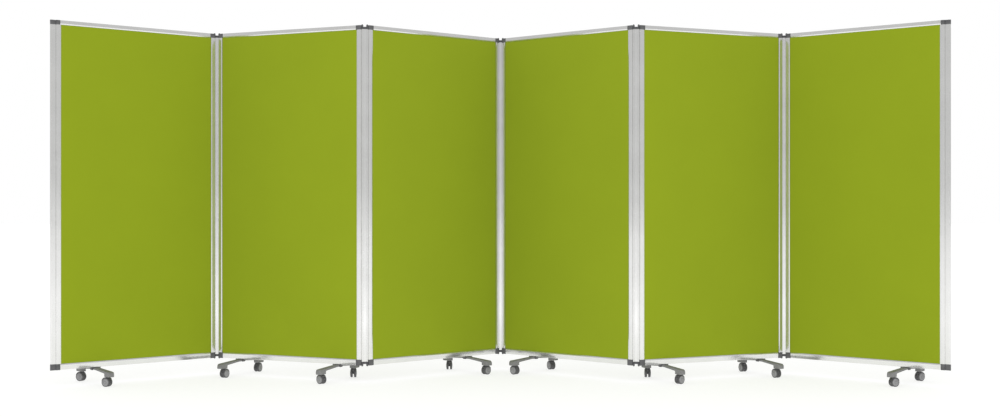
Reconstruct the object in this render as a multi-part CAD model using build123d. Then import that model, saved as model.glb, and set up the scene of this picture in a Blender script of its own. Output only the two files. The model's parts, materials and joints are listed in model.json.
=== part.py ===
from build123d import *
import math
import os

# A six-panel folding partition on swivel casters.
# Millimetres, +Z up, +X along the screen, -Y towards its front. The origin is on the floor, at the middle
# of the whole screen's box. Each panel is drawn in its own frame first: u along the panel from its left
# hinge axis, v square to it towards the back, z up from the floor.

# Driving dimensions.
PITCH = 900.0            # one panel and one hinge, when the screen is pulled out straight
HEIGHT = 1800.0          # floor to the tops of the hinge pins
THICKNESS = 24.0         # of a frame
LINK_SPAN = 25.0         # between the two parallel axes of one hinge
HEADINGS = (40.5, -25.0, 41.2, -41.2, 25.0, -40.5)   # degrees from +X, as the screen stands

AXIS_SPAN = PITCH - LINK_SPAN
PANELS = len(HEADINGS)
HALF_THICKNESS = THICKNESS / 2

# Hinge pins and the link profiles that they join.
PIN_R = 3.0
RUNNING = 0.05           # radial clearance of every turning fit
PIN_HEAD_R = 4.2
PIN_HEAD = 3.7
PIN_INSIDE = 26.0        # how far a pin goes into the link profile
LINK_R = 4.5             # bead round each axis
LINK_WEB = 3.6
PLUG_HEIGHT = 12.0       # moulded plate that closes each end of a link profile
GAP = 0.5                # between an ear and the link plate that turns against it

# Stiles, rails and board.
STILE_NEAR = 2.2         # from a hinge axis to the near face of the stile
STILE_FAR = 26.0
GROOVE_R = LINK_R + 0.1  # the stile's groove for the link's bead
WALL = 2.0
GROOVE_WALL = 1.6
EDGE_R = 2.0
SLOT_DEPTH = 5.0
LIP = 5.5                # the slot's flanges slope over this length
LIP_HALF = 10.9
BOARD_THICKNESS = 20.0
BOARD_GAP = 0.1
TOP_RAIL = 22.0
BOTTOM_RAIL = 29.0
END_NOSE = 19.5          # axis of the pin hole in a free edge, outside the stile
END_R = 5.1
END_BORE_R = 3.5

# Corner caps.
CAP_PROUD = 0.3
CAP_FAR = 31.0
END_CAP_FAR = 22.0
EAR_R = 5.5
EAR_HEIGHT = 7.0
CAP_EDGE_R = 2.0
CAP_TOP_R = 1.0
CAP_TONGUE = 20.0        # tongues of a cap inside its stile and its rail
TONGUE_GAP = 0.2

CAP_TOP_Z = HEIGHT - PIN_HEAD - CAP_PROUD
CAP_BOTTOM_Z = 83.0
RAIL_BOTTOM_Z = CAP_BOTTOM_Z + 1.0
BOARD_BOTTOM_Z = RAIL_BOTTOM_Z + BOTTOM_RAIL
BOARD_TOP_Z = CAP_TOP_Z - TOP_RAIL
CAP_TOP_DEPTH = CAP_TOP_Z - BOARD_TOP_Z
CAP_BOTTOM_DEPTH = BOARD_BOTTOM_Z - CAP_BOTTOM_Z

# Feet: one on each panel but two on the second and the fifth. (panel, place along it, front yaw, back yaw),
# with a yaw the heading of the caster's trail, as the screen stands.
OUTER_FOOT = 206.0
FAR_FOOT = 138.0
NEAR_FOOT = 733.0
INNER_FOOT = 654.0
BACK = 90.0
FEET = (
    (1, OUTER_FOOT, 159.0, 159.0),
    (2, FAR_FOOT, 60.0, 70.0),
    (2, NEAR_FOOT, 140.0, BACK),
    (3, INNER_FOOT, 45.0, BACK),
    (4, AXIS_SPAN - INNER_FOOT, 138.0, 120.0),
    (5, AXIS_SPAN - NEAR_FOOT, 40.0, BACK),
    (5, AXIS_SPAN - FAR_FOOT, 120.0, 112.0),
    (6, AXIS_SPAN - OUTER_FOOT, 21.0, 30.0),
)
FOOT_REACH = 187.0       # from the panel's middle to the end of an arm
FOOT_WIDTH = 30.0
FOOT_TOP_Z = 82.0        # under the rail
FOOT_UNDER_Z = 73.0
FOOT_LEVEL = 25.0        # the arm is level this far from the middle, and falls from there
KNEE_TOP_Z = 74.0
KNEE_UNDER_Z = 64.0
KNEE_Z = 48.5
KNEE_INNER = 138.0
KNEE_R = 15.0
TOE_R = 5.0
STEM_AT = 150.0          # caster stem, from the panel's middle
SADDLE_TOP = 50.0
SADDLE_WIDTH = 38.0
SADDLE_Z = 70.0
SADDLE_STEP_Z = 80.0
SADDLE_CHANNEL_Z = 82.1
BOLT_R = 3.0
BOLT_HEAD_R = 5.0
BOLT_HEAD = 3.5
BOLT_AT = 6.0
BOLT_TOP_Z = 92.0
NUT_PLATE = 4.0
NUT_PLATE_WIDTH = 19.0

# Casters, drawn about their stem with the trail along +X.
WHEEL_R = 22.0
TRAIL = 6.0
WHEEL_INNER = 4.2
WHEEL_OUTER = 17.6
TREAD_OUTER = 14.5
AXLE_R = 3.0
AXLE_HALF = 13.0
STEM_R = 4.0
STEM_TOP_Z = 65.0
STEM_HOLE_TOP_Z = 67.0
FORK_TOP_Z = KNEE_Z - 0.6
FORK_WEB = 6.8
FLANGE_R = 10.0
FLANGE = 1.4
FENDER_GAP = 1.0
FENDER_WALL = 2.2
FENDER_HALF = 12.0
FENDER_FROM = 20.0       # degrees above the axle's trailing side
FENDER_TO = 140.0


def direction(heading):
    """The unit vector of a heading in plan."""
    angle = math.radians(heading)
    return Vector(math.cos(angle), math.sin(angle))


def right_half():
    """(origin, heading) of panels 4 to 6 and of hinges 45 and 56, worked out from the middle hinge."""
    panels, links = [], []
    start = Vector(LINK_SPAN / 2, 0)
    for i in range(PANELS // 2, PANELS):
        if links or panels:
            bisector = (HEADINGS[i - 1] + HEADINGS[i]) / 2
            links.append((start, bisector))
            start = start + direction(bisector) * LINK_SPAN
        panels.append((start, HEADINGS[i]))
        start = start + direction(HEADINGS[i]) * AXIS_SPAN
    return panels, links


def mirrored(origin, heading, span):
    """The mirror image, left of the middle, of a panel or a link: its own left end comes first again."""
    far = origin + direction(heading) * span
    return Vector(-far.X, far.Y), -heading


def layout():
    """(origin, heading) of the six panels and of the five hinge links, left to right, before centring."""
    panels, links = right_half()
    left_panels = [mirrored(*place, AXIS_SPAN) for place in reversed(panels)]
    left_links = [mirrored(*place, LINK_SPAN) for place in reversed(links)]
    middle = [(Vector(-LINK_SPAN / 2, 0), 0.0)]
    return left_panels + panels, left_links + middle + links


def centre_y(panels):
    """The middle of the screen's depth: from the outer feet or free edges to the caps at the middle hinge."""
    panel, along, _, _ = FEET[-1]
    origin, heading = panels[panel - 1]
    toe = direction(heading) * (along + FOOT_WIDTH / 2) - direction(heading + 90) * FOOT_REACH
    nose = direction(heading) * (AXIS_SPAN + END_NOSE)
    front = origin.Y + min(toe.Y, nose.Y - EAR_R)
    origin, heading = panels[PANELS // 2]
    corner = direction(heading) * (STILE_NEAR + CAP_EDGE_R)
    corner += direction(heading + 90) * (HALF_THICKNESS + CAP_PROUD - CAP_EDGE_R)
    back = origin.Y + corner.Y + CAP_EDGE_R
    return (front + back) / 2


def places():
    """layout() with the middle of its depth at Y = 0."""
    panels, links = layout()
    shift = Vector(0, -centre_y(panels))
    return (
        [(origin + shift, heading) for origin, heading in panels],
        [(origin + shift, heading) for origin, heading in links],
    )


def placed(origin, heading):
    """The Location of a thing drawn in its own frame."""
    return Pos(origin.X, origin.Y, 0) * Rot(0, 0, heading)


def block(u0, u1, width, z0, z1):
    """A box from u0 to u1 and z0 to z1, centred on the panel's middle plane."""
    return Pos((u0 + u1) / 2, 0, (z0 + z1) / 2) * Box(u1 - u0, width, abs(z1 - z0))


def drum(radius, z0, z1):
    """An upright cylinder on the origin, from z0 to z1."""
    return Pos(0, 0, (z0 + z1) / 2) * Cylinder(radius, z1 - z0)


def upright(profile, z0, z1):
    """A plan profile extruded from z0 to z1."""
    return Pos(0, 0, z0) * extrude(profile, amount=z1 - z0)


def from_right(shape):
    """A shape drawn at a panel's left end, turned to its right end."""
    return Pos(AXIS_SPAN, 0, 0) * Rot(0, 0, 180) * shape


def section(near, far, chamber_from):
    """A hollow extrusion's section: x from its outer face to its slotted one, y across it."""
    outline = Polyline(
        (near, HALF_THICKNESS), (near, -HALF_THICKNESS), (far - LIP, -HALF_THICKNESS), (far, -LIP_HALF),
        (far, LIP_HALF), (far - LIP, HALF_THICKNESS), close=True,
    )
    profile = make_face(outline)
    profile = fillet(profile.vertices().filter_by(lambda p: p.X < near + RUNNING), EDGE_R)
    chamber_to = far - SLOT_DEPTH - WALL
    chamber = Rectangle(chamber_to - chamber_from, THICKNESS - 2 * WALL)
    slot = Rectangle(2 * SLOT_DEPTH, BOARD_THICKNESS + 2 * BOARD_GAP)
    return profile - Pos((chamber_from + chamber_to) / 2, 0) * chamber - Pos(far, 0) * slot


def stile(free):
    """A hollow upright with a slot for the board: grooved for the hinge, or at a free edge with a nose."""
    profile = section(STILE_NEAR, STILE_FAR, GROOVE_R + GROOVE_WALL)
    if free:
        root = STILE_NEAR + WALL
        profile += Pos((root - END_NOSE) / 2, 0) * Rectangle(root + END_NOSE, 2 * END_R)
        profile += Pos(-END_NOSE, 0) * Circle(END_R)
        profile -= Pos(-END_NOSE, 0) * Circle(END_BORE_R)
    else:
        profile -= Circle(GROOVE_R)
    return upright(profile, BOARD_BOTTOM_Z, BOARD_TOP_Z)


def rail(u0, u1, outer_z, board_z, holes):
    """A hollow rail between two corner caps, from its outer face to its slotted face."""
    inward = 1 if board_z > outer_z else -1
    plane = Plane(origin=(u0, 0, outer_z), x_dir=(0, 0, inward), z_dir=(1, 0, 0))
    body = extrude(plane * section(0, abs(board_z - outer_z), WALL), amount=u1 - u0)
    for along in holes:
        for side in (-BOLT_AT, BOLT_AT):
            body -= Pos(along, side, 0) * drum(BOLT_R + RUNNING, outer_z - 1, outer_z + WALL + 1)
    return body


def frame(panel, caps, feet):
    """The two stiles and two rails of a panel."""
    left, right = caps
    return [
        stile(panel == 1),
        from_right(stile(panel == PANELS)),
        rail(left, AXIS_SPAN - right, CAP_TOP_Z, BOARD_TOP_Z, ()),
        rail(left, AXIS_SPAN - right, RAIL_BOTTOM_Z, BOARD_BOTTOM_Z, feet),
    ]


def board():
    """The core board: its long edges stand in the stiles' slots, its short ones in the rails'."""
    edge = STILE_FAR - SLOT_DEPTH + BOARD_GAP
    inner = CAP_FAR + BOARD_GAP
    tuck = SLOT_DEPTH - BOARD_GAP
    wide = block(edge, AXIS_SPAN - edge, BOARD_THICKNESS, BOARD_BOTTOM_Z, BOARD_TOP_Z)
    tall = block(inner, AXIS_SPAN - inner, BOARD_THICKNESS, BOARD_BOTTOM_Z - tuck, BOARD_TOP_Z + tuck)
    return [wide + tall]


def corner_cap(depth, free):
    """A moulded corner with a pin ear, drawn with its outer face at z = 0 and its body below it."""
    width = THICKNESS + 2 * CAP_PROUD
    axis = -END_NOSE if free else 0.0
    far = END_CAP_FAR if free else CAP_FAR
    ear_depth = depth if free else EAR_HEIGHT
    body = block(STILE_NEAR, far, width, -depth, 0)
    body = fillet(body.edges().filter_by(Axis.Z), CAP_EDGE_R)
    ear = block(axis, STILE_NEAR + CAP_EDGE_R, 2 * EAR_R, -ear_depth, 0)
    ear += Pos(axis, 0, 0) * drum(EAR_R, -ear_depth, 0)
    cap = body + ear
    cap = fillet(cap.edges().group_by(Axis.Z)[-1], CAP_TOP_R)
    inner = THICKNESS - 2 * WALL - 2 * TONGUE_GAP
    near = GROOVE_R + GROOVE_WALL + TONGUE_GAP
    chamber_end = STILE_FAR - SLOT_DEPTH - WALL
    cap += block(near, chamber_end - TONGUE_GAP, inner, -depth - CAP_TONGUE, -depth)
    below = depth - SLOT_DEPTH - WALL - TONGUE_GAP
    cap += block(far, far + CAP_TONGUE, inner, -below, -2 * WALL)
    cap -= Pos(axis, 0, 0) * drum(PIN_R + RUNNING, -depth - 1, 1)
    if not free:
        cap -= drum(GROOVE_R, -depth - 1, -ear_depth)
    return cap


def corner_caps(panel):
    """The four corner caps of a panel."""
    solids = []
    for free, turn in ((panel == 1, lambda s: s), (panel == PANELS, from_right)):
        top = Pos(0, 0, CAP_TOP_Z) * corner_cap(CAP_TOP_DEPTH, free)
        bottom = Pos(0, 0, CAP_BOTTOM_Z) * mirror(corner_cap(CAP_BOTTOM_DEPTH, free), about=Plane.XY)
        solids += [turn(top), turn(bottom)]
    return solids


def foot_arm():
    """An arm that falls to a blunt knee at each end, which carries a caster stem, drawn about the panel."""
    half = [
        (FOOT_LEVEL, FOOT_TOP_Z),
        (FOOT_REACH, KNEE_TOP_Z),
        (FOOT_REACH, KNEE_Z),
        (KNEE_INNER, KNEE_Z),
        (KNEE_INNER, KNEE_UNDER_Z),
        (FOOT_LEVEL, FOOT_UNDER_Z),
    ]
    outline = half + [(-v, z) for v, z in reversed(half)]
    profile = make_face(Polyline(*outline, close=True))
    rounds = (
        ((FOOT_REACH, KNEE_TOP_Z), KNEE_R),
        ((FOOT_REACH, KNEE_Z), TOE_R),
        ((KNEE_INNER, KNEE_UNDER_Z), TOE_R),
    )
    for (v, z), radius in rounds:
        for side in (-1, 1):
            corner = profile.vertices().sort_by_distance((side * v, z, 0))[0]
            profile = fillet(corner, radius)
    arm = extrude(Plane.YZ * profile, amount=FOOT_WIDTH / 2, both=True)
    for side in (-STEM_AT, STEM_AT):
        arm -= Pos(0, side, 0) * drum(STEM_R + RUNNING, KNEE_Z - 1, STEM_HOLE_TOP_Z)
    for side in (-BOLT_AT, BOLT_AT):
        arm -= Pos(0, side, 0) * drum(BOLT_R + RUNNING, 0, HEIGHT)
    return arm


def saddle():
    """The clamp block between the bottom rail and the arm, open below over the arm."""
    half = [
        (SADDLE_TOP / 2, RAIL_BOTTOM_Z),
        (SADDLE_TOP / 2, SADDLE_STEP_Z),
        (SADDLE_WIDTH / 2, SADDLE_STEP_Z - 4),
        (SADDLE_WIDTH / 2, SADDLE_Z),
    ]
    outline = half + [(-u, z) for u, z in reversed(half)]
    profile = make_face(Polyline(*outline, close=True))
    solid = extrude(Plane.XZ * profile, amount=HALF_THICKNESS, both=True)
    solid -= block(
        -FOOT_WIDTH / 2 - RUNNING, FOOT_WIDTH / 2 + RUNNING, 2 * THICKNESS, 0, SADDLE_CHANNEL_Z
    )
    for side in (-BOLT_AT, BOLT_AT):
        solid -= Pos(0, side, 0) * drum(BOLT_R + RUNNING, 0, HEIGHT)
    return solid


def nut_plate():
    """The plate inside the rail that the foot's bolts draw up."""
    plate_z = RAIL_BOTTOM_Z + WALL
    plate = block(-SADDLE_TOP / 2, SADDLE_TOP / 2, NUT_PLATE_WIDTH, plate_z, plate_z + NUT_PLATE)
    for side in (-BOLT_AT, BOLT_AT):
        plate -= Pos(0, side, 0) * drum(BOLT_R + RUNNING, 0, HEIGHT)
    return plate


def foot_bolts():
    """The two bolts that hold an arm and its saddle up to the rail."""
    solids = []
    for side in (-BOLT_AT, BOLT_AT):
        bolt = drum(BOLT_R, FOOT_UNDER_Z, BOLT_TOP_Z)
        bolt += drum(BOLT_HEAD_R, FOOT_UNDER_Z - BOLT_HEAD, FOOT_UNDER_Z)
        solids.append(Pos(0, side, 0) * bolt)
    return solids


def foot():
    """One foot: the arm, its saddle, and two bolts with their nut plate."""
    return [foot_arm(), saddle(), nut_plate(), *foot_bolts()]


def oval():
    """The plan of a link: a round bead about each of its two axes, joined by a thin web."""
    profile = Circle(LINK_R) + Pos(LINK_SPAN, 0) * Circle(LINK_R)
    profile += Pos(LINK_SPAN / 2, 0) * Rectangle(LINK_SPAN, LINK_WEB)
    for along in (0, LINK_SPAN):
        profile -= Pos(along, 0) * Circle(PIN_R + RUNNING)
    return profile


PLUG_TOP_Z = CAP_TOP_Z - EAR_HEIGHT - GAP
PLUG_BOTTOM_Z = CAP_BOTTOM_Z + EAR_HEIGHT + GAP


def link_profile():
    """The full-height profile between two panels."""
    return [upright(oval(), PLUG_BOTTOM_Z + PLUG_HEIGHT, PLUG_TOP_Z - PLUG_HEIGHT)]


def pin(along, head_z, up):
    """A hinge pin with a domed head, from its outer end towards the middle of the screen's height."""
    length = PIN_HEAD + CAP_PROUD + EAR_HEIGHT + GAP + PLUG_HEIGHT + PIN_INSIDE
    shaft = drum(PIN_R, -length, -PIN_HEAD / 2)
    head = fillet(drum(PIN_HEAD_R, -PIN_HEAD, 0).edges().group_by(Axis.Z)[-1], PIN_HEAD / 2)
    solid = shaft + head
    if not up:
        solid = mirror(solid, about=Plane.XY)
    return Pos(along, 0, head_z) * solid


def link_pivots():
    """The two end plates of a link and its four pins."""
    solids = [
        upright(oval(), PLUG_TOP_Z - PLUG_HEIGHT, PLUG_TOP_Z),
        upright(oval(), PLUG_BOTTOM_Z, PLUG_BOTTOM_Z + PLUG_HEIGHT),
    ]
    for along in (0, LINK_SPAN):
        solids.append(pin(along, HEIGHT, True))
        solids.append(pin(along, CAP_BOTTOM_Z - CAP_PROUD - PIN_HEAD, False))
    return solids


def axle_frame():
    """The plane of a caster's side view, seen along +Y, with its origin on the axle."""
    return Plane(origin=(TRAIL, 0, WHEEL_R), x_dir=(1, 0, 0), z_dir=(0, -1, 0))


def wedge(radius):
    """A face about the axle over the fender's span, out to this radius."""
    angles = (FENDER_FROM, (FENDER_FROM + FENDER_TO) / 2, FENDER_TO)
    first, middle, last = [(radius * math.cos(math.radians(a)), radius * math.sin(math.radians(a)))
                           for a in angles]
    edge = Line((0, 0), first) + ThreePointArc(first, middle, last) + Line(last, (0, 0))
    return make_face(edge)


def caster_fork():
    """Stem, flange, fender, web and axle of a twin-wheel caster, as one moulding."""
    side = axle_frame()
    inner = WHEEL_R + FENDER_GAP
    outer = inner + FENDER_WALL
    fender = extrude(side * (wedge(outer) - Circle(inner)), amount=FENDER_HALF, both=True)
    web = extrude(side * (wedge(inner + FENDER_WALL / 2) + Circle(2 * AXLE_R)), amount=FORK_WEB / 2, both=True)
    axle = extrude(side * Circle(AXLE_R), amount=AXLE_HALF, both=True)
    post = drum(STEM_R, WHEEL_R + inner, STEM_TOP_Z) + drum(FLANGE_R, FORK_TOP_Z - FLANGE, FORK_TOP_Z)
    return [fender + web + axle + post]


def caster_wheels():
    """The two wheels of a caster, each a tread with a domed cover and a blind hub."""
    hub = AXLE_R + RUNNING
    blind = AXLE_HALF + GAP
    cover_r = WHEEL_R - 3.0
    outline = Polyline(
        (0, blind), (hub, blind), (hub, WHEEL_INNER), (WHEEL_R - 1, WHEEL_INNER),
        (WHEEL_R, WHEEL_INNER + 1), (WHEEL_R, TREAD_OUTER - 1), (WHEEL_R - 1, TREAD_OUTER),
        (cover_r, TREAD_OUTER),
    )
    rise = WHEEL_OUTER - TREAD_OUTER
    dome_r = (cover_r**2 + rise**2) / (2 * rise)
    half_fall = dome_r - math.sqrt(dome_r**2 - (cover_r / 2) ** 2)
    dome = ThreePointArc(
        (cover_r, TREAD_OUTER), (cover_r / 2, WHEEL_OUTER - half_fall), (0, WHEEL_OUTER)
    )
    close = Line((0, WHEEL_OUTER), (0, blind))
    face = make_face(outline + dome + close)
    wheel = Pos(TRAIL, 0, WHEEL_R) * revolve(face, axis=Axis.Y)
    return [wheel, mirror(wheel, about=Plane.XZ)]


def caster_places(panels):
    """(name, origin, yaw) of the sixteen casters, two on each foot."""
    found = []
    for number, (panel, along, front_yaw, back_yaw) in enumerate(FEET, 1):
        origin, heading = panels[panel - 1]
        middle = origin + direction(heading) * along
        across = direction(heading + 90) * STEM_AT
        found.append((f"caster_{number}_front", middle - across, front_yaw))
        found.append((f"caster_{number}_back", middle + across, back_yaw))
    return found


def write(name, solids, location):
    """Writes one node's solids, moved from their own frame to the screen's."""
    moved = [location * piece for solid in solids for piece in solid.solids()]
    export_step(Compound(children=moved), f"parts/{name}.step")


def main():
    os.makedirs("parts", exist_ok=True)
    panels, links = places()
    one_foot = foot()
    for number, place in enumerate(panels, 1):
        caps = (END_CAP_FAR if number == 1 else CAP_FAR, END_CAP_FAR if number == PANELS else CAP_FAR)
        feet = [along for panel, along, _, _ in FEET if panel == number]
        fittings = corner_caps(number)
        fittings += [Pos(along, 0, 0) * solid for along in feet for solid in one_foot]
        write(f"panel_{number}_frame", frame(number, caps, feet), placed(*place))
        write(f"panel_{number}_board", board(), placed(*place))
        write(f"panel_{number}_fittings", fittings, placed(*place))
    profile, pivots = link_profile(), link_pivots()
    for number, place in enumerate(links, 1):
        write(f"hinge_{number}{number + 1}_profile", profile, placed(*place))
        write(f"hinge_{number}{number + 1}_pivots", pivots, placed(*place))
    fork, wheels = caster_fork(), caster_wheels()
    for name, origin, yaw in caster_places(panels):
        write(f"{name}_fork", fork, placed(origin, yaw))
        write(f"{name}_wheels", wheels, placed(origin, yaw))


if __name__ == "__main__":
    main()
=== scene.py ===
import json
import math

import bpy
from mathutils import Matrix, Vector

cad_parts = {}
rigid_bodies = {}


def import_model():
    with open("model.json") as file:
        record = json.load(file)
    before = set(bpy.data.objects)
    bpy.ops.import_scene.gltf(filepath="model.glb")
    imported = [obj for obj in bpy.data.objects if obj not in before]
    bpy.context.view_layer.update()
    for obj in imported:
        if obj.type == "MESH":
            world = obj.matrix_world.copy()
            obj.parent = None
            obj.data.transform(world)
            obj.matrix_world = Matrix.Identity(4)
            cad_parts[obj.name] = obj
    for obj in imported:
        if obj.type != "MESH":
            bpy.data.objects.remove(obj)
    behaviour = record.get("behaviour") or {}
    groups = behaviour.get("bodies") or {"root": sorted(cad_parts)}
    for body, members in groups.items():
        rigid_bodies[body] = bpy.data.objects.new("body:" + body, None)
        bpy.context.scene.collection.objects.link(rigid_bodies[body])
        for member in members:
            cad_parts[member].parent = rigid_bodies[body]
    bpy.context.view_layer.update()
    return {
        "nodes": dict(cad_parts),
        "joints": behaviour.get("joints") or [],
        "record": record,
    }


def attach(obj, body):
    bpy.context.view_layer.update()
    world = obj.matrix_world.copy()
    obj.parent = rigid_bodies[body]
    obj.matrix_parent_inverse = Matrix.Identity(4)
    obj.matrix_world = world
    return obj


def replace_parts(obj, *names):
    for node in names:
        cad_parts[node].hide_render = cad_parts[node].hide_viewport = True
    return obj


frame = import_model()

# Metres, in the CAD's frame. A panel's own frame is u along it from its left hinge axis, v square to it
# towards the back, and z up from the floor.
MM = 0.001
PANELS = range(1, 7)
FEET = range(1, 9)
JOINTS = {j["name"]: j for j in frame["joints"]}
MOUNTS = {m["name"]: m for m in frame["record"]["mounts"]}

NOSE = 19.5 * MM           # pin hole of a free edge, outside the stile's own hinge axis
RAIL_TOP_Z = 1796 * MM
CAP_BOTTOM_Z = 83 * MM
BOARD_Z = (113 * MM, 1774 * MM)
STILE_FACE = 2.2 * MM
GROOVE_R = 4.6 * MM
CAP_HALF = 12.3 * MM
STILE_INNER = 26 * MM
BOARD_HALF = 10 * MM
EAR_DEPTH = 7 * MM
CAP_INSETS = ((1.8 * MM, 0.0), (2.4 * MM, 0.5 * MM))
PAD_FOOT = 11.9 * MM
PAD_FACE = 12.45 * MM      # under half the gap between two closed panels' middles
WHEEL_R = 22 * MM
TRAIL = 6 * MM
YARN_REPEAT = 1.5 * MM
CAMERA_BACK = 7.6855
CAMERA_UP = 0.88935


# ---- Places ----

def plan_matrix(along, origin):
    """A frame on the floor at an origin, with x along a direction in plan."""
    return Matrix((
        (along.x, -along.y, 0, origin.x),
        (along.y, along.x, 0, origin.y),
        (0, 0, 1, 0),
        (0, 0, 0, 1),
    ))


def hinge_axes(panel):
    """A panel's left and right hinge axes in plan, from the joints and, at a free edge, the mount."""
    body = f"panel_{panel}"
    found = [
        Vector(j["pos_m"]).to_2d()
        for name, j in JOINTS.items()
        if name.startswith("hinge_") and body in (j["parent"], j["child"])
    ]
    found.sort(key=lambda p: p.x)
    if panel in (1, 6):
        side = "left" if panel == 1 else "right"
        nose = Vector(MOUNTS[f"{side}_top_pin_hole"]["pos_m"]).to_2d()
        inward = (found[0] - nose).normalized()
        end = nose + inward * NOSE
        found = [end, found[0]] if panel == 1 else [found[0], end]
    return found


def panel_matrix(panel):
    """From a panel's own frame to the row frame, with the panel's length between its axes."""
    left, right = hinge_axes(panel)
    along = (right - left).normalized()
    return plan_matrix(along, left), (right - left).length


def caster_matrix(name):
    """From a caster's own frame, +x trailing from the stem axis on the floor, to the row frame."""
    stem = Vector(JOINTS[f"{name}_swivel"]["pos_m"])
    axle = Vector(JOINTS[f"{name}_spin"]["pos_m"])
    trail = (axle - stem).to_2d().normalized()
    return plan_matrix(trail, stem)


def foot_places():
    """(foot, panel, u) of each foot, from its casters' swivels."""
    found = []
    for foot in FEET:
        front = JOINTS[f"caster_{foot}_front_swivel"]
        back = Vector(JOINTS[f"caster_{foot}_back_swivel"]["pos_m"])
        middle = (Vector(front["pos_m"]) + back) / 2
        panel = int(front["parent"][-1])
        matrix, _ = panel_matrix(panel)
        found.append((foot, panel, (matrix.inverted() @ middle).x))
    return found


# ---- Mesh making ----

def make(name, verts, faces, material, smooth_angle=35.0):
    """A mesh object of these vertices and faces, shaded smooth up to an angle."""
    mesh = bpy.data.meshes.new(name)
    mesh.from_pydata([tuple(v) for v in verts], [], faces)
    mesh.validate()
    obj = bpy.data.objects.new(name, mesh)
    bpy.context.scene.collection.objects.link(obj)
    obj.data.materials.append(material)
    mesh.polygons.foreach_set("use_smooth", [True] * len(mesh.polygons))
    mesh.set_sharp_from_angle(angle=math.radians(smooth_angle))
    return obj


def joined(parts):
    """One (vertices, faces) of several."""
    verts, faces = [], []
    for part_verts, part_faces in parts:
        start = len(verts)
        verts += part_verts
        faces += [tuple(i + start for i in face) for face in part_faces]
    return verts, faces


def turned(part, matrix):
    """A part moved by a matrix, its faces turned round where the matrix mirrors."""
    verts, faces = part
    moved = [matrix @ Vector(v) for v in verts]
    if matrix.determinant() < 0:
        faces = [tuple(reversed(face)) for face in faces]
    return moved, faces


def arc(centre, radius, start, end, count):
    """Points of an arc in degrees, ends included."""
    step = (end - start) / count
    angles = [math.radians(start + step * i) for i in range(count + 1)]
    return [(centre[0] + radius * math.cos(a), centre[1] + radius * math.sin(a)) for a in angles]


def shrunk(points, by):
    """A closed anticlockwise outline moved inwards."""
    moved = []
    count = len(points)
    for i, (x, y) in enumerate(points):
        before, after = points[i - 1], points[(i + 1) % count]
        d0 = Vector((x - before[0], y - before[1])).normalized()
        d1 = Vector((after[0] - x, after[1] - y)).normalized()
        n0, n1 = Vector((-d0.y, d0.x)), Vector((-d1.y, d1.x))
        mean = (n0 + n1).normalized()
        reach = by / max(0.5, mean.dot(n0))
        moved.append((x + mean.x * reach, y + mean.y * reach))
    return moved


def slab(points, low, high, edge, steps=3, insets=()):
    """An anticlockwise outline in x and y, from low to high in z, with rounded rims. insets lists
    (shrink, drop) rings that shape both ends inside the rim."""
    rings = []
    for i in range(steps + 1):
        a = math.radians(90 * i / steps)
        rings.append((shrunk(points, edge * (1 - math.sin(a))), edge * (1 - math.cos(a))))
    ends = [(shrunk(points, edge + by), drop) for by, drop in reversed(insets)]
    levels = [(ring, low + rise) for ring, rise in ends + rings]
    levels += [(ring, high - rise) for ring, rise in reversed(ends + rings)]
    count = len(points)
    verts = [(x, y, z) for ring, z in levels for x, y in ring]
    faces = [tuple(reversed(range(count)))]
    for k in range(len(levels) - 1):
        for i in range(count):
            j = (i + 1) % count
            faces.append((k * count + i, k * count + j, (k + 1) * count + j, (k + 1) * count + i))
    faces.append(tuple(range((len(levels) - 1) * count, len(levels) * count)))
    return verts, faces


def spun(profile, count=40):
    """A profile of (distance from the axis, place along it), turned about z."""
    verts, faces = [], []
    size = len(profile)
    for i in range(count):
        angle = 2 * math.pi * i / count
        verts += [(r * math.cos(angle), r * math.sin(angle), z) for r, z in profile]
    for i in range(count):
        j = (i + 1) % count
        for k in range(size - 1):
            faces.append((i * size + k, j * size + k, j * size + k + 1, i * size + k + 1))
    return verts, faces


def rounded_box(u0, u1, v0, v1, radius, count=4):
    """An anticlockwise rounded rectangle."""
    points = arc((u1 - radius, v1 - radius), radius, 0, 90, count)
    points += arc((u0 + radius, v1 - radius), radius, 90, 180, count)
    points += arc((u0 + radius, v0 + radius), radius, 180, 270, count)
    points += arc((u1 - radius, v0 + radius), radius, 270, 360, count)
    return points


ACROSS = Matrix(((0, 0, 1, 0), (1, 0, 0, 0), (0, 1, 0, 0), (0, 0, 0, 1)))     # x to v, y to z, z to u
LENGTHWAYS = Matrix(((1, 0, 0, 0), (0, 0, -1, 0), (0, 1, 0, 0), (0, 0, 0, 1)))  # x to u, y to z, z to -v


# ---- Materials ----

def material(name, colour, roughness, metallic=0.0):
    """A new material with its shader's constants set, and its node tools."""
    made = bpy.data.materials.new(name)
    made.use_nodes = True
    nodes, links = made.node_tree.nodes, made.node_tree.links
    shader = nodes["Principled BSDF"]
    shader.inputs["Base Color"].default_value = (*colour, 1)
    shader.inputs["Roughness"].default_value = roughness
    shader.inputs["Metallic"].default_value = metallic
    return made, nodes, links, shader


def noise(nodes, links, vector, scale, detail=3.0, stretch=(1, 1, 1)):
    """A noise texture over a stretched vector."""
    mapping = nodes.new("ShaderNodeMapping")
    mapping.inputs["Scale"].default_value = stretch
    links.new(vector, mapping.inputs["Vector"])
    texture = nodes.new("ShaderNodeTexNoise")
    texture.inputs["Scale"].default_value = scale
    texture.inputs["Detail"].default_value = detail
    links.new(mapping.outputs["Vector"], texture.inputs["Vector"])
    return texture.outputs["Fac"]


def ramp(nodes, links, value, low, high, colours):
    """A colour from a value, between two stops."""
    node = nodes.new("ShaderNodeValToRGB")
    node.color_ramp.elements[0].position = low
    node.color_ramp.elements[1].position = high
    node.color_ramp.elements[0].color = (*colours[0], 1)
    node.color_ramp.elements[1].color = (*colours[1], 1)
    links.new(value, node.inputs["Fac"])
    return node.outputs["Color"]


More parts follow.
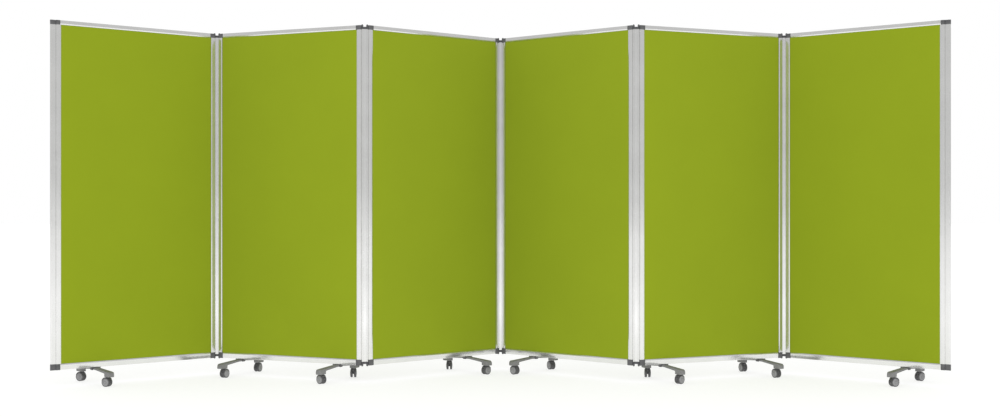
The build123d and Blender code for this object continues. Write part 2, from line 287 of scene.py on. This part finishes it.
def spread(nodes, links, value, low, high):
    """A 0 to 1 value mapped to low to high."""
    node = nodes.new("ShaderNodeMapRange")
    node.inputs["To Min"].default_value = low
    node.inputs["To Max"].default_value = high
    links.new(value, node.inputs["Value"])
    return node.outputs["Result"]


def math_node(nodes, links, operation, first, second):
    """A Math node of two inputs, each a socket or a number."""
    node = nodes.new("ShaderNodeMath")
    node.operation = operation
    for slot, value in zip(node.inputs, (first, second)):
        if isinstance(value, (int, float)):
            slot.default_value = value
        else:
            links.new(value, slot)
    return node.outputs["Value"]


def bump(nodes, links, shader, height, distance, strength=1.0):
    """Bump on a shader."""
    node = nodes.new("ShaderNodeBump")
    node.inputs["Distance"].default_value = distance
    node.inputs["Strength"].default_value = strength
    links.new(height, node.inputs["Height"])
    links.new(node.outputs["Normal"], shader.inputs["Normal"])


def shade(colour, by):
    return tuple(c * by for c in colour)


def fabric_material():
    """Lime woven cloth: crossed yarns in the cloth's own UV metres, slubs, and slow dye variation."""
    lime = (0.219, 0.284, 0.0092)
    made, nodes, links, shader = material("lime_cloth", lime, 0.92)
    shader.inputs["Specular IOR Level"].default_value = 0.10
    shader.inputs["Sheen Weight"].default_value = 0.04
    shader.inputs["Sheen Roughness"].default_value = 0.6
    uv = nodes.new("ShaderNodeTexCoord").outputs["UV"]
    split = nodes.new("ShaderNodeSeparateXYZ")
    links.new(uv, split.inputs["Vector"])
    yarns = []
    for axis in ("X", "Y"):
        phase = math_node(nodes, links, "MULTIPLY", split.outputs[axis], 2 * math.pi / YARN_REPEAT)
        yarns.append(math_node(nodes, links, "SINE", phase, 0.0))
    weave = math_node(nodes, links, "MULTIPLY", yarns[0], yarns[1])
    weave = math_node(nodes, links, "MULTIPLY_ADD", weave, 0.5)
    weave.node.inputs[2].default_value = 0.5
    slub = noise(nodes, links, uv, 1.0, 2.0, (180, 900, 1))
    cross_slub = noise(nodes, links, uv, 1.0, 2.0, (900, 180, 1))
    fuzz = math_node(nodes, links, "ADD", slub, cross_slub)
    height = math_node(nodes, links, "MULTIPLY_ADD", fuzz, 0.5)
    links.new(weave, height.node.inputs[2])
    dye = noise(nodes, links, uv, 3.0, 4.0)
    tone = math_node(nodes, links, "MULTIPLY_ADD", dye, 0.35)
    links.new(math_node(nodes, links, "MULTIPLY", fuzz, 0.33), tone.node.inputs[2])
    links.new(
        ramp(nodes, links, tone, 0.3, 0.75, (shade(lime, 0.94), shade(lime, 1.05))),
        shader.inputs["Base Color"],
    )
    links.new(spread(nodes, links, fuzz, 0.98, 0.86), shader.inputs["Roughness"])
    bump(nodes, links, shader, height, 0.12 * MM, 0.5)
    return made


def aluminium_material():
    """Satin anodised extrusion with fine drawn lines: upright on stiles and links, level on rails."""
    silver = (0.80, 0.80, 0.79)
    made, nodes, links, shader = material("satin_aluminium", silver, 0.13, 0.9)
    place = nodes.new("ShaderNodeTexCoord").outputs["Object"]
    split = nodes.new("ShaderNodeSeparateXYZ")
    links.new(place, split.inputs["Vector"])
    upright = noise(nodes, links, place, 1.0, 3.0, (1500, 1500, 6))
    level = noise(nodes, links, place, 1.0, 3.0, (6, 6, 1500))
    above = math_node(nodes, links, "GREATER_THAN", split.outputs["Z"], BOARD_Z[1])
    below = math_node(nodes, links, "LESS_THAN", split.outputs["Z"], BOARD_Z[0])
    on_rail = math_node(nodes, links, "ADD", above, below)
    lines = nodes.new("ShaderNodeMix")
    links.new(on_rail, lines.inputs["Factor"])
    links.new(upright, lines.inputs["A"])
    links.new(level, lines.inputs["B"])
    drawn = lines.outputs["Result"]
    cloud = noise(nodes, links, place, 9.0, 3.0)
    links.new(
        ramp(nodes, links, cloud, 0.3, 0.7, (shade(silver, 0.96), shade(silver, 1.02))),
        shader.inputs["Base Color"],
    )
    links.new(spread(nodes, links, drawn, 0.09, 0.17), shader.inputs["Roughness"])
    bump(nodes, links, shader, drawn, 0.02 * MM, 0.35)
    return made


def moulded_material(name, colour, roughness, grain=0.05, scale=900.0):
    """Moulded plastic or paint with a fine grain and slight wear in tone."""
    made, nodes, links, shader = material(name, colour, roughness)
    place = nodes.new("ShaderNodeTexCoord").outputs["Object"]
    fine = noise(nodes, links, place, scale, 2.0)
    slow = noise(nodes, links, place, 35.0, 4.0)
    links.new(
        ramp(nodes, links, slow, 0.3, 0.72, (shade(colour, 0.86), shade(colour, 1.12))),
        shader.inputs["Base Color"],
    )
    links.new(spread(nodes, links, slow, roughness - 0.08, roughness + 0.1), shader.inputs["Roughness"])
    bump(nodes, links, shader, fine, grain * MM, 0.5)
    return made


def steel_material():
    """Zinc-plated steel of the bolts."""
    made, nodes, links, shader = material("plated_steel", (0.52, 0.52, 0.5), 0.34, 1.0)
    place = nodes.new("ShaderNodeTexCoord").outputs["Object"]
    cloud = noise(nodes, links, place, 160.0, 4.0)
    links.new(
        ramp(nodes, links, cloud, 0.3, 0.7, ((0.44, 0.44, 0.42), (0.6, 0.6, 0.59))),
        shader.inputs["Base Color"],
    )
    links.new(spread(nodes, links, cloud, 0.25, 0.45), shader.inputs["Roughness"])
    return made


FABRIC = fabric_material()
ALUMINIUM = aluminium_material()
CAP_GREY = moulded_material("cap_plastic", (0.085, 0.085, 0.088), 0.32)
PIVOT_GREY = moulded_material("pivot_plastic", (0.06, 0.06, 0.064), 0.4)
CAST_GREY = moulded_material("cast_paint", (0.175, 0.175, 0.174), 0.42, 0.08, 600.0)
SADDLE_GREY = moulded_material("saddle_plastic", (0.085, 0.085, 0.087), 0.5)
WHEEL_GREY = moulded_material("wheel_cover", (0.235, 0.235, 0.24), 0.34)
HOOD_GREY = moulded_material("hood_plastic", (0.10, 0.10, 0.103), 0.38)
TREAD = moulded_material("tread_rubber", (0.07, 0.07, 0.072), 0.6, 0.1, 1500.0)
STEEL = steel_material()


# ---- Panels ----

def cloth_skin(name, panel, side):
    """One stretched face of a board: flat, and rolled over at each edge into the frame's slot."""
    matrix, length = panel_matrix(panel)
    tuck, roll = 4.2 * MM, 2.6 * MM
    drop = 1.4 * MM
    u0, u1 = STILE_INNER - tuck, length - STILE_INNER + tuck
    z0, z1 = BOARD_Z[0] - tuck, BOARD_Z[1] + tuck

    def line(low, high, count):
        """Places along one direction: close together over the rolled edges, even between them."""
        edge = [low, low + tuck, *[low + tuck + roll * k / 4 for k in range(1, 5)]]
        mirror = [low + high - p for p in reversed(edge)]
        inner = [edge[-1] + (mirror[0] - edge[-1]) * k / count for k in range(1, count)]
        return edge + inner + mirror

    def fall(place, low, high):
        """How far the cloth has sunk at a place, by its distance from the frame's lip."""
        inside = min(place - low, high - place) - tuck
        share = min(1.0, max(0.0, 1 - inside / roll))
        return drop * (1 - math.sqrt(max(0.0, 1 - share * share)))

    us, zs = line(u0, u1, 12), line(z0, z1, 24)
    verts, uvs = [], []
    for z in zs:
        for u in us:
            sunk = max(fall(u, u0, u1), fall(z, z0, z1))
            verts.append(matrix @ Vector((u, side * (BOARD_HALF - sunk), z)))
            uvs.append((u, z))
    wide = len(us)
    faces = []
    for r in range(len(zs) - 1):
        for c in range(wide - 1):
            face = (r * wide + c, r * wide + c + 1, (r + 1) * wide + c + 1, (r + 1) * wide + c)
            faces.append(face if side < 0 else tuple(reversed(face)))
    obj = make(name, verts, faces, FABRIC, 80.0)
    layer = obj.data.uv_layers.new(name="cloth")
    for loop in obj.data.loops:
        layer.data[loop.index].uv = uvs[loop.vertex_index]
    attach(obj, f"panel_{panel}")
    return obj


def cap_far(free):
    """Where a corner cap ends, along its panel."""
    return (22 if free else 31) * MM


def cap_outline(free):
    """Plan of a corner cap at a panel's left end, with its ear."""
    radius, ear = 2.0 * MM, 5.5 * MM
    far = cap_far(free)
    axis = -NOSE if free else 0.0
    points = arc((far - radius, CAP_HALF - radius), radius, 0, 90, 4)
    points += arc((STILE_FACE + radius, CAP_HALF - radius), radius, 90, 180, 4)
    points.append((STILE_FACE, ear + 0.6 * MM))
    points += arc((axis, 0), ear, 90, 270, 14)
    points.append((STILE_FACE, -ear - 0.6 * MM))
    points += arc((STILE_FACE + radius, -CAP_HALF + radius), radius, 180, 270, 4)
    points += arc((far - radius, -CAP_HALF + radius), radius, 270, 360, 4)
    return points


def body_outline():
    """Plan of a hinge cap below its ear, grooved for the bead of the link."""
    radius = 2.0 * MM
    far = cap_far(False)
    turn = math.degrees(math.acos(STILE_FACE / GROOVE_R))
    points = arc((far - radius, CAP_HALF - radius), radius, 0, 90, 4)
    points += arc((STILE_FACE + radius, CAP_HALF - radius), radius, 90, 180, 4)
    points += arc((0, 0), GROOVE_R, turn, -turn, 8)
    points += arc((STILE_FACE + radius, -CAP_HALF + radius), radius, 180, 270, 4)
    points += arc((far - radius, -CAP_HALF + radius), radius, 270, 360, 4)
    return points


def cap_parts(free, height):
    """One corner cap with its outer face at z = 0 and its body below."""
    edge = 0.9 * MM
    if free:
        return [slab(cap_outline(True), -height, 0, edge, insets=CAP_INSETS)]
    ear = slab(cap_outline(False), -EAR_DEPTH, 0, edge, insets=CAP_INSETS)
    body = slab(body_outline(), -height, 0.1 * MM - EAR_DEPTH, 0.3 * MM)
    return [ear, body]


def face_pads(free, height):
    """The raised pads on a cap's two faces."""
    far = cap_far(free)
    pad = rounded_box(STILE_FACE + 3 * MM, far - 3 * MM, -height + 3.2 * MM, -3.2 * MM, 1.6 * MM)
    return [turned(slab(pad, PAD_FOOT, PAD_FACE, 0.14 * MM), m) for m in (
        Matrix(((1, 0, 0, 0), (0, 0, -1, 0), (0, 1, 0, 0), (0, 0, 0, 1))),
        Matrix(((1, 0, 0, 0), (0, 0, 1, 0), (0, 1, 0, 0), (0, 0, 0, 1))),
    )]


def corner_caps(panel):
    """The four moulded corners of a panel."""
    matrix, length = panel_matrix(panel)
    flip_z = Matrix.Diagonal((1, 1, -1, 1))
    to_right = Matrix.Translation((length, 0, 0)) @ Matrix.Rotation(math.pi, 4, "Z")
    parts = []
    for free, end in ((panel == 1, Matrix.Identity(4)), (panel == 6, to_right)):
        top = Matrix.Translation((0, 0, RAIL_TOP_Z))
        bottom = Matrix.Translation((0, 0, CAP_BOTTOM_Z)) @ flip_z
        for place, height in ((top, RAIL_TOP_Z - BOARD_Z[1]), (bottom, BOARD_Z[0] - CAP_BOTTOM_Z)):
            for part in cap_parts(free, height) + face_pads(free, height):
                parts.append(turned(part, matrix @ end @ place))
    obj = make(f"panel_{panel}_corner_caps", *joined(parts), CAP_GREY)
    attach(obj, f"panel_{panel}")
    return obj


# ---- Feet ----

def arm_outline():
    """Side view of a foot arm in v and z, anticlockwise, with fine cross ribs along its falling top."""
    level, reach, inner, bottom = 25 * MM, 187 * MM, 138 * MM, 48.5 * MM
    top, top_end, under, under_end = 82 * MM, 74 * MM, 73 * MM, 64 * MM
    big, small = 15 * MM, 5 * MM
    top_fall = (top - top_end) / (reach - level)
    under_fall = (under - under_end) / (inner - level)
    top_turn, under_turn = math.atan(top_fall), math.atan(under_fall)
    pit = (inner - small, under - under_fall * (inner - small - level) - small / math.cos(under_turn))
    knee = (reach - big, top - top_fall * (reach - big - level) - big / math.cos(top_turn))
    half = [(level, under)]
    half += arc(pit, small, 90 - math.degrees(under_turn), 0, 5)
    half.append((inner, bottom))
    half += arc((reach - small, bottom + small), small, -90, 0, 5)
    half += arc(knee, big, 0, 90 - math.degrees(top_turn), 9)
    pitch, depth = 9.0 * MM, 1.4 * MM
    start = half[-1][0]
    for k in range(1, int((start - level) / (pitch / 6))):
        v = start - k * pitch / 6
        rib = depth * (0.5 - 0.5 * math.cos(2 * math.pi * k / 6))
        half.append((v, top - top_fall * (v - level) - rib))
    half.append((level, top))
    return half + [(-v, z) for v, z in reversed(half)]


def foot_pieces(foot, panel, u):
    """A foot's arm, saddle and bolts."""
    matrix, _ = panel_matrix(panel)
    here = matrix @ Matrix.Translation((u, 0, 0))
    arm = slab(arm_outline(), -15 * MM, 15 * MM, 1.2 * MM, insets=((1.4 * MM, 0.0), (1.8 * MM, 0.5 * MM)))
    arm_obj = make(f"foot_{foot}_arm", *turned(arm, here @ ACROSS), CAST_GREY, 50.0)
    saddle_line = [
        (25 * MM, 84 * MM), (-25 * MM, 84 * MM), (-25 * MM, 80 * MM), (-19 * MM, 76 * MM),
        (-19 * MM, 70 * MM), (-15.1 * MM, 70 * MM), (-15.1 * MM, 82.2 * MM), (15.1 * MM, 82.2 * MM),
        (15.1 * MM, 70 * MM), (19 * MM, 70 * MM), (19 * MM, 76 * MM), (25 * MM, 80 * MM),
    ]
    saddle = slab(saddle_line, -12 * MM, 12 * MM, 0.5 * MM)
    saddle_obj = make(f"foot_{foot}_saddle", *turned(saddle, here @ LENGTHWAYS), SADDLE_GREY)
    parts = []
    for side in (-6 * MM, 6 * MM):
        head = [
            (0.1 * MM, 71.6 * MM), (2.4 * MM, 71.6 * MM), (2.5 * MM, 69.9 * MM), (4.4 * MM, 69.5 * MM),
            (5 * MM, 70.1 * MM), (5 * MM, 73 * MM), (3 * MM, 73.2 * MM), (0.1 * MM, 73.2 * MM),
        ]
        parts.append(turned(spun(head, 24), here @ Matrix.Translation((0, side, 0))))
    bolts_obj = make(f"foot_{foot}_bolts", *joined(parts), STEEL)
    for obj in (arm_obj, saddle_obj, bolts_obj):
        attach(obj, f"panel_{panel}")
    return [arm_obj, saddle_obj, bolts_obj]


# ---- Casters ----

AXLE_TURN = Matrix.Rotation(math.radians(-90), 4, "X")   # z to +y


def wheel_profiles():
    """The tread's and the cover's profiles of the wheel on the +y side, in (radius, distance from the
    middle)."""
    tread = [
        (18.6, 4.4), (20.8, 4.2), (21.7, 4.6), (22.0, 5.6), (22.0, 9.0), (21.7, 9.3), (21.7, 9.7),
        (22.0, 10.0), (22.0, 13.2), (21.6, 14.2), (20.7, 14.6), (18.6, 14.6),
    ]
    cover = [
        (3.2, 4.2), (19.0, 4.2), (19.0, 14.2), (18.7, 14.8), (17.9, 15.1), (17.5, 14.9), (17.2, 13.8),
        (16.5, 13.8), (16.2, 15.2), (15.7, 15.5), (12.0, 16.3), (8.3, 16.8), (7.9, 16.7), (7.6, 15.1),
        (6.6, 15.1), (6.3, 16.8), (5.9, 17.1), (3.0, 17.5), (0.05, 17.6),
    ]
    return [[(r * MM, y * MM) for r, y in line] for line in (tread, cover)]


def caster_wheels(name):
    """Both wheels of a caster: ribbed rubber treads and domed covers with a ring and a hub button."""
    axle = Matrix.Translation((TRAIL, 0, WHEEL_R))
    tread, cover = wheel_profiles()
    made = []
    for label, profile, look in (("tread", tread, TREAD), ("covers", cover, WHEEL_GREY)):
        parts = []
        for side in (1, -1):
            flip = Matrix.Diagonal((1, side, 1, 1))
            parts.append(turned(spun(profile, 48), caster_matrix(name) @ axle @ flip @ AXLE_TURN))
        obj = make(f"{name}_{label}", *joined(parts), look, 40.0)
        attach(obj, f"{name}_wheels")
        made.append(obj)
    return made


# ---- Assembly ----

for panel in PANELS:
    frame["nodes"][f"panel_{panel}_frame"].data.materials.clear()
    frame["nodes"][f"panel_{panel}_frame"].data.materials.append(ALUMINIUM)
    for side, sign in (("front", -1), ("back", 1)):
        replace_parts(cloth_skin(f"panel_{panel}_cloth_{side}", panel, sign), f"panel_{panel}_board")
    caps = corner_caps(panel)
    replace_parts(caps, f"panel_{panel}_fittings")

for foot, panel, u in foot_places():
    for obj in foot_pieces(foot, panel, u):
        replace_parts(obj, f"panel_{panel}_fittings")

for hinge in ("12", "23", "34", "45", "56"):
    for part, look in (("profile", ALUMINIUM), ("pivots", PIVOT_GREY)):
        node = frame["nodes"][f"hinge_{hinge}_{part}"]
        node.data.materials.clear()
        node.data.materials.append(look)

for foot in FEET:
    for end in ("front", "back"):
        name = f"caster_{foot}_{end}"
        for obj in caster_wheels(name):
            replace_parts(obj, f"{name}_wheels")
        fork = frame["nodes"][f"{name}_fork"]
        fork.data.materials.clear()
        fork.data.materials.append(HOOD_GREY)


# ---- Stage, light and camera ----

def floor():
    """A plain pale floor that runs far enough for every view."""
    made, _, _, shader = material("floor", (0.36, 0.36, 0.36), 0.9)
    shader.inputs["Specular IOR Level"].default_value = 0.1
    shader.inputs["Emission Color"].default_value = (1, 1, 1, 1)
    shader.inputs["Emission Strength"].default_value = 0.70
    size = 60.0
    corners = [(-size, -size, 0), (size, -size, 0), (size, size, 0), (-size, size, 0)]
    make("floor", corners, [(0, 1, 2, 3)], made)


def softbox(name, place, target, size, power):
    """A rectangular softbox that is seen neither by the camera nor in reflections."""
    data = bpy.data.lights.new(name, "AREA")
    data.shape = "RECTANGLE"
    data.size, data.size_y = size
    data.energy = power
    obj = bpy.data.objects.new(name, data)
    bpy.context.scene.collection.objects.link(obj)
    obj.location = place
    obj.rotation_euler = (Vector(target) - Vector(place)).to_track_quat("-Z", "Y").to_euler()
    obj.visible_camera = False
    obj.visible_glossy = False


def world(soft, reflected):
    """A white backdrop and an even soft light, dimmer in reflections, as pale grey walls would be."""
    made = bpy.data.worlds.new("studio")
    made.use_nodes = True
    nodes, links = made.node_tree.nodes, made.node_tree.links
    output = nodes["World Output"]
    path = nodes.new("ShaderNodeLightPath")

    def background(strength):
        node = nodes.new("ShaderNodeBackground")
        node.inputs["Color"].default_value = (1, 1, 1, 1)
        node.inputs["Strength"].default_value = strength
        return node

    def choose(switch, off, on):
        mix = nodes.new("ShaderNodeMixShader")
        links.new(path.outputs[switch], mix.inputs[0])
        links.new(off, mix.inputs[1])
        links.new(on, mix.inputs[2])
        return mix.outputs[0]

    unseen = choose("Is Glossy Ray", background(soft).outputs[0], background(reflected).outputs[0])
    links.new(choose("Is Camera Ray", unseen, background(1.0).outputs[0]), output.inputs["Surface"])
    bpy.context.scene.world = made


def camera():
    """The photograph's viewpoint, in front of the middle hinge at about half the screen's height."""
    middle_y = JOINTS["hinge_34_near"]["pos_m"][1]
    data = bpy.data.cameras.new("camera")
    data.sensor_width = 36.0
    data.lens = 50.82
    data.shift_x = -0.0005
    data.shift_y = -0.00315
    data.clip_end = 200.0
    obj = bpy.data.objects.new("camera", data)
    bpy.context.scene.collection.objects.link(obj)
    obj.location = (0, middle_y - CAMERA_BACK, CAMERA_UP)
    obj.rotation_euler = (math.radians(90), 0, 0)
    bpy.context.scene.camera = obj


floor()
world(0.93, 0.60)
softbox("front", (0, -6.0, 1.1), (0, 0, 0.8), (9.0, 2.2), 140)
softbox("middle", (0, -4.2, 0.6), (0, 0.3, 0.6), (1.8, 1.2), 22)
camera()
bpy.context.scene.view_settings.view_transform = "Standard"
